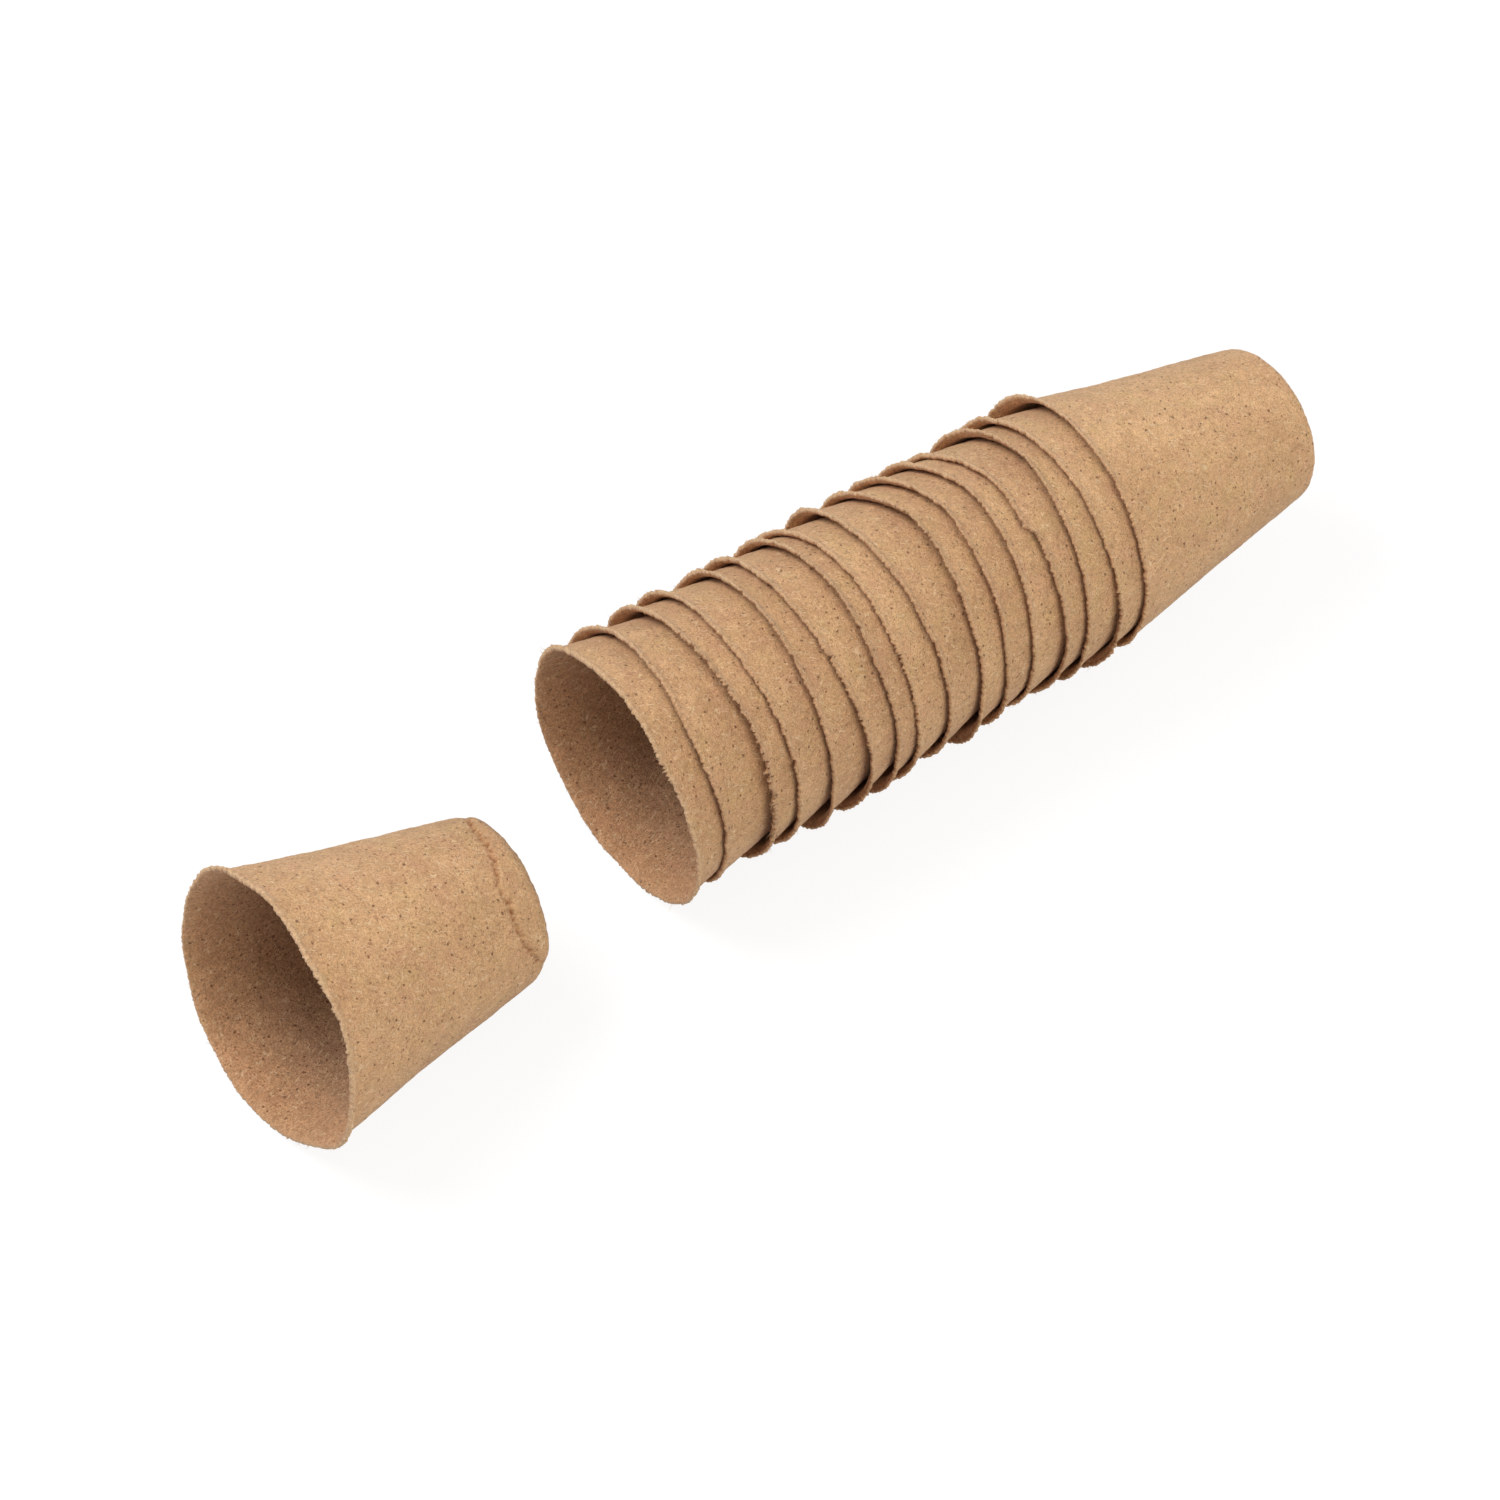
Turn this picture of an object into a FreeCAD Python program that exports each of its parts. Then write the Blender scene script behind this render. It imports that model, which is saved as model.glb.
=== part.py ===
import FreeCAD, Part
import math
import os
import Sketcher

# A nest of sixteen moulded peat-fibre plant pots that lies on its side, and one more
# pot that lies loose in front of the nest's mouth. Every pot is one thin moulded piece.
# Lengths are in millimetres and angles in degrees. X runs along the nest, from the
# mouths towards the bases, and Z is up. The origin is on the ground, under the middle
# of the box that holds the nest and the loose pot.

# Driving sizes of one pot: name, value, meaning.
POT_SIZES = (
    ("rim_radius", 40.2, "radius of the lip before its edge is rounded"),
    ("lip_flare", 1.0, "how far the lip stands out from the cone of the wall"),
    ("lip_depth", 3.0, "height of the flared lip"),
    ("lip_bend", 6.0, "outer radius of the bend from the wall into the lip"),
    ("base_radius", 25.2, "radius of the wall where it would meet the base sharply"),
    ("pot_height", 80.0, "height of one pot"),
    ("wall_thickness", 1.0, "thickness of the moulded wall, lip and base"),
    ("corner_radius", 5.0, "outer rounding between wall and base"),
    ("edge_rounding", 0.35, "rounding of the two edges of the lip"),
)

# Driving sizes of the set.
SET_SIZES = (
    ("nest_clearance", 0.3, "least radial play between one pot and the next"),
    ("loose_ahead", 122.5, "from the loose pot's rim centre to the front rim of the nest"),
    ("loose_aside", 11.0, "from the nest's middle to the loose pot's rim, to the near side"),
    ("loose_turn", 3.4, "turn of the loose pot about the vertical"),
)

# How each pot of the nest sits in the next one behind it, from the front pot back.
# The first number is how far it stands out beyond the tightest place that it could
# take. The second is the side towards which its base leans until it nearly touches,
# counted in degrees from the top towards the near side.
NEST_SEATS = (
    (4.0, 240.0),
    (6.8, 80.0),
    (2.1, 190.0),
    (5.1, 340.0),
    (2.6, 160.0),
    (4.4, 10.0),
    (0.1, 30.0),
    (4.2, 180.0),
    (5.8, 340.0),
    (2.6, 270.0),
    (3.2, 270.0),
    (2.2, 260.0),
    (3.9, 270.0),
    (2.0, 210.0),
    (4.3, 250.0),
)

UP = FreeCAD.Vector(0, 0, 1)


def make_sheet(doc):
    """Spreadsheet of the driving sizes, one alias for each."""
    sheet = doc.addObject("Spreadsheet::Sheet", "Sizes")
    rows = list(POT_SIZES + SET_SIZES)
    for number, (stand_out, lean_side) in enumerate(NEST_SEATS, start=1):
        rows.append((f"stand_out_{number:02d}", stand_out, f"stand out of pot {number}"))
        rows.append((f"lean_side_{number:02d}", lean_side, f"lean direction of pot {number}"))
    for row, (alias, value, meaning) in enumerate(rows, start=1):
        sheet.set(f"A{row}", meaning)
        sheet.set(f"B{row}", str(value))
        sheet.setAlias(f"B{row}", alias)
    doc.recompute()
    return sheet


def draw_outline(body):
    """Half outline of the filled pot, from the middle of its base to its mouth."""
    sketch = body.newObject("Sketcher::SketchObject", body.Name + "_outline")
    planes = [item for item in body.Origin.OriginFeatures if item.Role == "XZ_Plane"]
    sketch.AttachmentSupport = [(planes[0], "")]
    sketch.MapMode = "FlatFace"
    # Base, wall, lip, mouth and axis, drawn roughly and then held by constraints.
    corners = [(0, 0), (25, 0), (38, 76), (40, 79), (0, 79)]
    for start, end in zip(corners, corners[1:] + corners[:1]):
        sketch.addGeometry(Part.LineSegment(FreeCAD.Vector(*start), FreeCAD.Vector(*end)))
    base, wall, lip, mouth, axis = range(5)
    for line, following in ((base, wall), (wall, lip), (lip, mouth), (mouth, axis), (axis, base)):
        sketch.addConstraint(Sketcher.Constraint("Coincident", line, 2, following, 1))
    sketch.addConstraint(Sketcher.Constraint("Coincident", base, 1, -1, 1))
    sketch.addConstraint(Sketcher.Constraint("Horizontal", base))
    sketch.addConstraint(Sketcher.Constraint("Horizontal", mouth))
    sketch.addConstraint(Sketcher.Constraint("Vertical", axis))
    lip_root = "Sizes.pot_height - Sizes.lip_depth"
    cone_rise = "(Sizes.rim_radius - Sizes.lip_flare - Sizes.base_radius) / Sizes.pot_height"
    for name, kind, line, rough, expression in (
        ("base_reach", "DistanceX", base, 25, "Sizes.base_radius"),
        ("lip_root_reach", "DistanceX", wall, 38,
         f"Sizes.base_radius + {cone_rise} * ({lip_root})"),
        ("lip_root_height", "DistanceY", wall, 76, lip_root),
        ("rim_reach", "DistanceX", lip, 40, "Sizes.rim_radius"),
        ("rim_height", "DistanceY", lip, 79, "Sizes.pot_height"),
    ):
        index = sketch.addConstraint(Sketcher.Constraint(kind, -1, 1, line, 2, rough))
        sketch.renameConstraint(index, name)
        sketch.setExpression(f"Constraints.{name}", expression)
    body.Document.recompute()
    bend = sketch.GeometryCount
    rough_bend = 5.0
    sketch.fillet(wall, 2, rough_bend, True, True)
    index = sketch.addConstraint(Sketcher.Constraint("Radius", bend, rough_bend))
    sketch.renameConstraint(index, "lip_bend")
    sketch.setExpression("Constraints.lip_bend", "Sizes.lip_bend")
    return sketch


def lies_flat_at(piece, height, tolerance=0.05):
    """Whether an edge or a face lies flat at one height of the pot."""
    box = piece.optimalBoundingBox(False)
    return box.ZLength < tolerance and abs(box.ZMin - height) < tolerance


def rings_at(shape, height):
    """Names of the round edges that lie flat at one height of the pot."""
    return [
        f"Edge{index}"
        for index, edge in enumerate(shape.Edges, start=1)
        if isinstance(edge.Curve, Part.Circle) and lies_flat_at(edge, height)
    ]


def faces_at(shape, height):
    """Names of the flat faces at one height of the pot."""
    return [
        f"Face{index}"
        for index, face in enumerate(shape.Faces, start=1)
        if lies_flat_at(face, height)
    ]


def make_pot(doc, sheet, label):
    """One moulded pot that stands on its base, with its axis on Z."""
    body = doc.addObject("PartDesign::Body", label)
    body.Label = label
    outline = draw_outline(body)
    doc.recompute()

    filled = body.newObject("PartDesign::Revolution", label + "_filled")
    filled.Profile = outline
    filled.ReferenceAxis = (outline, ["V_Axis"])
    filled.Angle = 360.0
    doc.recompute()

    corner = body.newObject("PartDesign::Fillet", label + "_corner")
    corner.Base = (filled, rings_at(filled.Shape, 0.0))
    corner.setExpression("Radius", "Sizes.corner_radius")
    doc.recompute()

    hollow = body.newObject("PartDesign::Thickness", label + "_hollow")
    hollow.Base = (corner, faces_at(corner.Shape, sheet.pot_height))
    hollow.Reversed = True
    hollow.setExpression("Value", "Sizes.wall_thickness")
    doc.recompute()

    lip_edges = body.newObject("PartDesign::Fillet", label + "_lip_edges")
    lip_edges.Base = (hollow, rings_at(hollow.Shape, sheet.pot_height))
    lip_edges.setExpression("Radius", "Sizes.edge_rounding")
    doc.recompute()
    return body


def wall_slope(sheet):
    """Gain of the wall's radius for each millimetre of height."""
    return (sheet.rim_radius - sheet.lip_flare - sheet.base_radius) / sheet.pot_height


def tightest_step(sheet):
    """Least distance between two nested rims that leaves the clearance."""
    slope = wall_slope(sheet)
    wall_across = sheet.wall_thickness * math.hypot(1.0, slope)
    return (wall_across + sheet.nest_clearance) / slope


def lean_angle(sheet, stand_out):
    """Lean, in degrees, that takes up the play of a pot that stands out this far."""
    slope = wall_slope(sheet)
    contact_height = sheet.corner_radius * (1.0 - math.sin(math.atan(slope)))
    contact_radius = sheet.base_radius + slope * contact_height
    reach = sheet.pot_height - contact_height - slope * contact_radius
    return math.degrees(stand_out * slope / reach)


def seat_frames(sheet):
    """Frames of the nested rims, from the front one back, along the rear pot's axis.

    Each frame is at a rim's centre. Its Z axis points out of the mouth, its X axis
    towards the top side and its Y axis towards the far side.
    """
    frame = FreeCAD.Placement()
    frames = [frame]
    for number in range(len(NEST_SEATS), 0, -1):
        stand_out = getattr(sheet, f"stand_out_{number:02d}")
        side = math.radians(getattr(sheet, f"lean_side_{number:02d}"))
        hinge_line = FreeCAD.Vector(-math.sin(side), -math.cos(side), 0)
        step = FreeCAD.Placement(
            UP * (tightest_step(sheet) + stand_out),
            FreeCAD.Rotation(hinge_line, lean_angle(sheet, stand_out)),
        )
        frame = frame.multiply(step)
        frames.append(frame)
    return frames[::-1]


def lay_nest(pots, sheet):
    """Lay the nest on its side, with its row of rims straight along X."""
    frames = seat_frames(sheet)
    row = frames[0].Base.sub(frames[-1].Base)
    straighten = FreeCAD.Rotation(row, UP)
    lay_down = FreeCAD.Rotation(FreeCAD.Vector(0, 1, 0), -90.0)
    turn = FreeCAD.Placement(FreeCAD.Vector(), lay_down.multiply(straighten))
    from_rim = FreeCAD.Placement(UP * -sheet.pot_height, FreeCAD.Rotation())
    laid = [turn.multiply(frame) for frame in frames]
    front_rim = laid[0].Base
    for pot, frame in zip(pots, laid):
        pot.Placement = frame.multiply(from_rim)
        pot.Placement.move(front_rim.negative())
    return laid[-1].Base.sub(front_rim)


def resting_tilt(pot, sheet):
    """Angle at which a pot that lies on its lip and its base corner points down."""
    slope = wall_slope(sheet)
    corner_centre = sheet.base_radius - sheet.corner_radius * (math.hypot(1.0, slope) - slope)
    lip_reach = pot.Shape.optimalBoundingBox(False).XMax - sheet.edge_rounding
    along = sheet.pot_height - sheet.edge_rounding - sheet.corner_radius
    across = lip_reach - corner_centre
    drop = sheet.corner_radius - sheet.edge_rounding
    return math.degrees(math.atan2(across, along) - math.asin(drop / math.hypot(across, along)))


def lay_loose_pot(pot, sheet):
    """Lay the loose pot on its lip and base corner, ahead of the nest's front rim."""
    tilt = resting_tilt(pot, sheet)
    lay_down = FreeCAD.Rotation(FreeCAD.Vector(0, 1, 0), tilt - 90.0)
    turn = FreeCAD.Rotation(UP, sheet.loose_turn)
    rim_centre = FreeCAD.Vector(-sheet.loose_ahead, -sheet.loose_aside, 0)
    rim = FreeCAD.Placement(rim_centre, turn.multiply(lay_down))
    pot.Placement = rim.multiply(FreeCAD.Placement(UP * -sheet.pot_height, FreeCAD.Rotation()))
    return tilt


def drop_to_ground(pots):
    """Lower or lift the pots together until the lowest of them touches the ground."""
    lowest = min(pot.Shape.optimalBoundingBox(False).ZMin for pot in pots)
    for pot in pots:
        pot.Placement.move(UP * -lowest)


def centre_on_ground(pots):
    """Move the whole set so that the middle of its box is over the origin."""
    box = FreeCAD.BoundBox()
    for pot in pots:
        box.add(pot.Shape.optimalBoundingBox(False))
    shift = FreeCAD.Vector(-box.Center.x, -box.Center.y, 0)
    for pot in pots:
        pot.Placement.move(shift)
    return box


def check_pots(doc, pots):
    """Stop if any object failed or any pot isn't one valid solid."""
    for item in doc.Objects:
        if "Invalid" in item.State or "Error" in item.State:
            raise RuntimeError(f"{item.Name} failed: {item.State}")
    for pot in pots:
        shape = pot.Shape
        if shape.isNull() or not shape.isValid() or len(shape.Solids) != 1:
            raise RuntimeError(f"{pot.Label} is not one valid solid")


doc = FreeCAD.newDocument("peat_pots")
sheet = make_sheet(doc)
nest = [make_pot(doc, sheet, f"nest_pot_{n:02d}") for n in range(1, len(NEST_SEATS) + 2)]
loose_pot = make_pot(doc, sheet, "loose_pot")
tilt = lay_loose_pot(loose_pot, sheet)
row = lay_nest(nest, sheet)
doc.recompute()
drop_to_ground(nest)
drop_to_ground([loose_pot])
pots = nest + [loose_pot]
box = centre_on_ground(pots)
doc.recompute()
check_pots(doc, pots)

os.makedirs("parts", exist_ok=True)
for pot in pots:
    pot.Shape.exportStep(f"parts/{pot.Label}.step")

print(f"box {box.XLength:.1f} x {box.YLength:.1f} x {box.ZLength:.1f} mm")
print(f"front rim to rear rim {row.x:.1f} mm, tightest step {tightest_step(sheet):.2f} mm")
print(f"loose pot points down by {tilt:.2f} degrees")
print(f"volume of one pot {loose_pot.Shape.Volume:.0f} cubic mm")
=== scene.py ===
import math

import bpy
import numpy as np
from mathutils import Matrix


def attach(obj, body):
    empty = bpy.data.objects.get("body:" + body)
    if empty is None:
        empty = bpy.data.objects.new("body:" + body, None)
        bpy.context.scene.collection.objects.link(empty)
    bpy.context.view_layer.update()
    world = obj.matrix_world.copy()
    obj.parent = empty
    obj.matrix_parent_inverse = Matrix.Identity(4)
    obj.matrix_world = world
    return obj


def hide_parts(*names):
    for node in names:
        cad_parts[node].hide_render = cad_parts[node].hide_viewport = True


# A nest of sixteen moulded peat-fibre pots on its side and one loose pot in front of its
# mouth. Each pot is one sheet of rough pulp with a ragged, slightly curled lip. The CAD
# node of a pot gives its place, and the sheet built here stands for it.
# Sizes of a pot are in millimetres. "Depth" is counted from the rim towards the base, and
# "side" is the angle round the pot in degrees, from the top towards the near side.

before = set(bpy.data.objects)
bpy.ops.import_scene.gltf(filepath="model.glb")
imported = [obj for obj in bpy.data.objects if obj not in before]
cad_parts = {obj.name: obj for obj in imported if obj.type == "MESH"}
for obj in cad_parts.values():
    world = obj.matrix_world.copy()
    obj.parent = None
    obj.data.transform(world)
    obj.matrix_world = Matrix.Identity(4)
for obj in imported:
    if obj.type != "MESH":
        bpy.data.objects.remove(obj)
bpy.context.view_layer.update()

MM = 0.001
LIP_RADIUS = 40.2
LIP_FLARE = 1.0
WALL_TOP_RADIUS = LIP_RADIUS - LIP_FLARE
BASE_RADIUS = 25.2
WALL = 1.0
CORNER = 5.0

# Points round each ring of a pot, and the depths of the rings closest to the lip. The first
# is where the two faces of the wall end and the rim's round edge starts.
COLUMNS = 560
LIP_DEPTHS = [0.15, 0.35, 0.6, 0.9, 1.25, 1.65, 2.1, 2.6, 3.2, 3.9, 4.7]
# How far round a pot is at the rim and about halfway down, for the length of waves there.
RIM_GIRTH = 2 * math.pi * 40.0
WALL_GIRTH = 2 * math.pi * 34.0
# No point is lower than this over the floor, and no hair higher.
LOWEST = 0.02
HIGHEST = 82.0

# The values that a section has for each ring: depth, radius, the outward direction as its
# parts along depth and radius, whether it is wall (1) or base (0), which face it is on (1
# outside, -1 inside), and its share of what only the outer face does.
DEPTH, RADIUS, OUT_DEPTH, OUT_RADIUS, ON_WALL, FACE, OUTER = range(7)

NEST = [f"nest_pot_{number:02d}" for number in range(1, 17)]
# The pots whose whole outside or whole inside shows. The rest show a band under the lip.
WHOLE_OUTSIDE = ("nest_pot_16", "loose_pot")
WHOLE_INSIDE = ("nest_pot_01", "loose_pot")

# How far each rim of the nest lies back from the plain circle, at six places: far side,
# far shoulder, top, near shoulder, near side and low near side.
RIM_PLACES = (-60.0, -30.0, 0.0, 45.0, 85.0, 125.0)
RIM_BACK = {
    "nest_pot_01": (0.8, 0.0, 0.0, 0.0, 0.0, 0.0),
    "nest_pot_02": (-0.6, 1.8, 1.5, -1.0, -1.0, -0.4),
    "nest_pot_03": (0.3, 0.5, 0.0, 1.5, -0.5, 0.6),
    "nest_pot_04": (0.5, 0.5, 0.0, 0.5, 0.5, 0.0),
    "nest_pot_05": (1.3, 1.0, 1.0, 0.0, -0.5, -0.9),
    "nest_pot_06": (0.9, 0.0, 0.0, 0.5, 2.0, 0.0),
    "nest_pot_07": (0.0, 0.0, 1.0, 0.0, 1.0, 0.0),
    "nest_pot_08": (-0.2, -0.5, 1.0, 0.5, 0.5, -0.4),
    "nest_pot_09": (1.8, 0.0, 0.0, 0.5, 1.0, 0.4),
    "nest_pot_10": (-0.4, -2.0, 2.5, 1.0, 0.0, -1.2),
    "nest_pot_11": (-1.0, -1.0, 2.5, 1.0, -1.0, -0.4),
    "nest_pot_12": (-0.7, -1.0, 2.5, 1.0, -1.5, -0.8),
    "nest_pot_13": (-1.7, -2.5, 1.0, 1.5, 1.0, -0.6),
    "nest_pot_14": (-1.6, 0.0, 2.5, 0.5, -1.5, -1.2),
    "nest_pot_15": (-0.8, -0.5, 1.0, 1.0, 1.0, -1.2),
    "nest_pot_16": (0.0, 1.7, 1.0, 0.5, 0.0, 0.0),
}

# How far each rim stands out of round, at the far side and at the low near side: for each,
# first what the whole upper part of the pot does, then what the lip alone adds.
FAR_SIDE = -58.0
LOW_SIDE = 122.0
RIM_OUT = {
    "nest_pot_01": (0.6, -1.2, 0.6, 0.9),
    "nest_pot_02": (0.2, 0.3, 0.2, -0.2),
    "nest_pot_03": (0.2, 0.1, 0.5, 0.4),
    "nest_pot_04": (0.2, -0.1, 1.1, 0.1),
    "nest_pot_05": (-0.3, -0.5, 1.8, 1.4),
    "nest_pot_06": (-0.4, 0.0, 2.1, 0.7),
    "nest_pot_07": (-0.5, -0.5, 2.0, 1.1),
    "nest_pot_08": (-0.5, -0.2, 1.9, 0.7),
    "nest_pot_09": (0.2, 0.1, 1.5, -0.1),
    "nest_pot_10": (-0.4, -0.5, 1.6, 1.7),
    "nest_pot_11": (-0.6, -0.2, 1.2, 0.7),
    "nest_pot_12": (-0.7, -0.2, 0.8, -0.3),
    "nest_pot_13": (-0.8, -1.2, 0.8, -0.1),
    "nest_pot_14": (-0.3, -0.1, 1.1, 0.3),
    "nest_pot_15": (0.3, 0.1, 0.9, 1.2),
    "nest_pot_16": (1.2, 0.7, 0.6, 0.2),
}

# What the two rims that show all round do besides, as sides, values and blur in degrees.
MORE_BACK = {
    "loose_pot": (
        (-180, -150, -120, -90, -50, 0, 60, 90, 110, 125, 150),
        (-1.3, -1.1, -0.2, 0.2, 0.0, 0.0, 0.0, 0.0, -0.4, -0.6, -0.8), 8.0,
    ),
}
MORE_OUT = {
    "nest_pot_01": (
        (-160, -120, -90, -65, -40, -15, 12, 40, 60, 100, 130, 165),
        (0.6, -0.3, -0.6, 0.0, 0.9, -0.2, 0.7, -1.3, 0.0, 0.4, 0.6, 0.2), 6.0,
    ),
    "loose_pot": (
        (-165, -150, -135, -118, -108, -88, -60, -40, -22,
         0, 26, 42, 60, 82, 104, 120, 140, 165),
        (0.2, 0.8, 0.5, -0.7, 0.1, -1.2, -0.3, 1.2, 0.9,
         0.9, -1.4, 0.0, 1.1, -0.5, 0.6, 1.7, -0.6, 0.2), 4.0,
    ),
}

# The usual curl of a lip, and how far the lips of the nest stand off the pot inside them
# beyond it, at six sides. The loose pot's lip is folded at one side.
USUAL_CURL = (
    (-180, -140, -100, -65, -40, -15, 10, 40, 90, 130),
    (0.6, 0.7, 1.0, 1.25, 1.25, 0.9, 0.5, 0.3, 0.3, 0.4), 9.0,
)
LEAST_CURL = 0.05
MOST_CURL = 3.4
LIP_PLACES = (-10.0, 10.0, 30.0, 50.0, 70.0, 90.0)
LIP_OFF = {
    "nest_pot_02": (0.5, 0.1, -0.2, -0.2, 1.1, 0.3),
    "nest_pot_03": (0.1, 1.2, 1.4, 1.5, 2.0, 1.4),
    "nest_pot_04": (0.4, 0.0, 0.0, 0.4, 0.3, -0.2),
    "nest_pot_05": (1.4, 1.4, 1.2, 0.5, 0.0, -0.8),
    "nest_pot_06": (-0.1, 0.4, 0.1, 0.4, 1.0, 1.4),
    "nest_pot_07": (1.3, 1.7, 1.3, 0.4, -0.3, -0.8),
    "nest_pot_08": (-0.2, 0.2, 0.1, 0.2, 0.1, 0.1),
    "nest_pot_09": (0.0, 0.0, 0.4, 0.4, 0.2, 0.3),
    "nest_pot_10": (1.7, 2.0, 1.5, 0.6, -0.3, -0.9),
    "nest_pot_11": (0.9, 1.3, 1.2, 0.8, 0.1, 0.1),
    "nest_pot_12": (0.3, 0.9, 1.2, 0.7, 0.6, 0.2),
    "nest_pot_13": (0.3, 0.2, 0.4, 0.4, 1.2, 1.4),
    "nest_pot_14": (1.7, 1.2, 0.5, 0.3, 0.2, -0.2),
    "nest_pot_15": (-0.2, 0.0, 0.3, -0.1, 0.6, 1.1),
    "nest_pot_16": (0.8, 0.6, 0.5, 0.2, -0.2, -0.1),
}
FOLD_SIDE = 98.0

# Places where a rim is torn or frayed more than elsewhere: side, half width in degrees,
# how much. One rim also has a tear, with its two sides out of line.
TEAR_SIDE = 31.0
FRAYED = {
    "nest_pot_01": ((42.0, 7.0, 0.9), (12.0, 6.0, 0.4)),
    "nest_pot_03": (
        (25.0, 30.0, 0.5), (64.0, 8.0, 1.6), (80.0, 9.0, 1.8), (98.0, 9.0, 1.4),
    ),
    "nest_pot_06": ((60.0, 25.0, 0.5),),
    "nest_pot_08": ((50.0, 30.0, 0.5),),
    "nest_pot_10": ((8.0, 14.0, 0.6),),
    "nest_pot_13": ((TEAR_SIDE, 5.0, 1.0),),
    "nest_pot_15": ((80.0, 14.0, 0.7),),
}
NEST_NOTCHES, LOOSE_NOTCHES = 26, 14
NEST_HAIRS, LOOSE_HAIRS, FRAYED_HAIRS = 170, 60, 44

# How light each pot's pulp is beside the others.
TONES = {
    "nest_pot_01": 0.89, "nest_pot_02": 0.91, "nest_pot_03": 0.93, "nest_pot_04": 0.93,
    "nest_pot_05": 0.92, "nest_pot_06": 0.94, "nest_pot_07": 0.91, "nest_pot_08": 1.00,
    "nest_pot_09": 0.92, "nest_pot_10": 0.99, "nest_pot_11": 0.95, "nest_pot_12": 1.00,
    "nest_pot_13": 0.95, "nest_pot_14": 0.98, "nest_pot_15": 1.02, "nest_pot_16": 1.00,
    "loose_pot": 0.95,
}

# Distances that keep the coordinates of a pot's base, its inside and its hairs off those of
# the outside wall, and of one pot off the next, so that no pattern is repeated.
BASE_SHIFT, INSIDE_SHIFT, HAIR_SHIFT = 400.0, 150.0, 500.0
POT_SHIFT = np.array([61.0, 37.0, 83.0])
SHIFTS = 97

# Colours of the pulp and of what is in it.
TAN, SAND = (0.600, 0.355, 0.178), (0.655, 0.400, 0.205)
REDDISH, YELLOWISH = (0.600, 0.325, 0.180), (0.625, 0.405, 0.180)
# The browner colour of the inner faces, partly painted shade, and the darker, greyer painted shade
# deep inside a pot.
LINING_AND_SHADE, DEEP_PAINTED_SHADE = (0.58, 0.285, 0.150), (0.50, 0.315, 0.230)
FLAKE, PALE_FLAKE = (0.27, 0.135, 0.06), (0.80, 0.58, 0.34)
STRAW, THREAD, SPECK = (0.84, 0.62, 0.38), (0.25, 0.115, 0.048), (0.14, 0.055, 0.022)
# The brown of the painted shade at the rims and in the crease, and pale fuzz that is partly a
# painted highlight.
PAINTED_SHADE_BROWN, FUZZ_AND_HIGHLIGHT = (0.30, 0.125, 0.047), (0.72, 0.52, 0.33)


def ring_angles():
    """Angle of each column of a ring, in radians."""
    return np.linspace(-math.pi, math.pi, COLUMNS, endpoint=False)


def ring_sides():
    """Side of each column of a ring."""
    return np.degrees(ring_angles())


def rounded(places, values, blur):
    """Smooth closed curve round a pot through values at some sides, as one value a column."""
    places = np.asarray(places, float)
    order = np.argsort(places)
    straight = np.interp(
        ring_sides(), places[order], np.asarray(values, float)[order], period=360.0
    )
    spread = np.arange(COLUMNS)
    spread = np.minimum(spread, COLUMNS - spread) * 360.0 / COLUMNS
    kernel = np.exp(-0.5 * (spread / blur) ** 2)
    kernel /= kernel.sum()
    return np.real(np.fft.ifft(np.fft.fft(straight) * np.fft.fft(kernel)))


def bump_at(side, half_width):
    """One at a side of the pot, falling to nothing within about two half widths."""
    away = (ring_sides() - side + 180.0) % 360.0 - 180.0
    return np.exp(-((away / half_width) ** 2))


def soft_step(value, low, high):
    """Nothing up to low, one from high on, and a smooth rise between."""
    share = np.clip((np.asarray(value, float) - low) / (high - low), 0.0, 1.0)
    return share * share * (3.0 - 2.0 * share)


def uneven_ring(random, shortest, longest, falloff):
    """Random unevenness round a pot, of unit strength, with waves between two lengths."""
    angles = ring_angles()
    low = max(1, int(RIM_GIRTH / longest))
    high = min(COLUMNS // 2 - 1, int(RIM_GIRTH / shortest))
    waves = np.arange(low, high + 1)
    strength = (waves / low) ** -falloff
    phases = random.uniform(0.0, 2 * math.pi, len(waves))
    value = (strength[:, None] * np.cos(waves[:, None] * angles + phases[:, None])).sum(0)
    return value / value.std()


def uneven_wall(random, depths, shortest, longest, count=70):
    """Random unevenness over a wall, of unit strength: one row a depth, one value a column."""
    lengths = np.exp(random.uniform(math.log(shortest), math.log(longest), count))
    headings = random.uniform(0.0, math.pi, count)
    round_waves = np.round(WALL_GIRTH * np.cos(headings) / lengths)
    deep_waves = 2 * math.pi * np.sin(headings) / lengths
    phases = random.uniform(0.0, 2 * math.pi, count)
    around = round_waves[:, None] * ring_angles() + phases[:, None]
    along = deep_waves[:, None] * np.asarray(depths, float)
    value = np.cos(along).T @ np.cos(around) - np.sin(along).T @ np.sin(around)
    return value * math.sqrt(2.0 / count)


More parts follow.
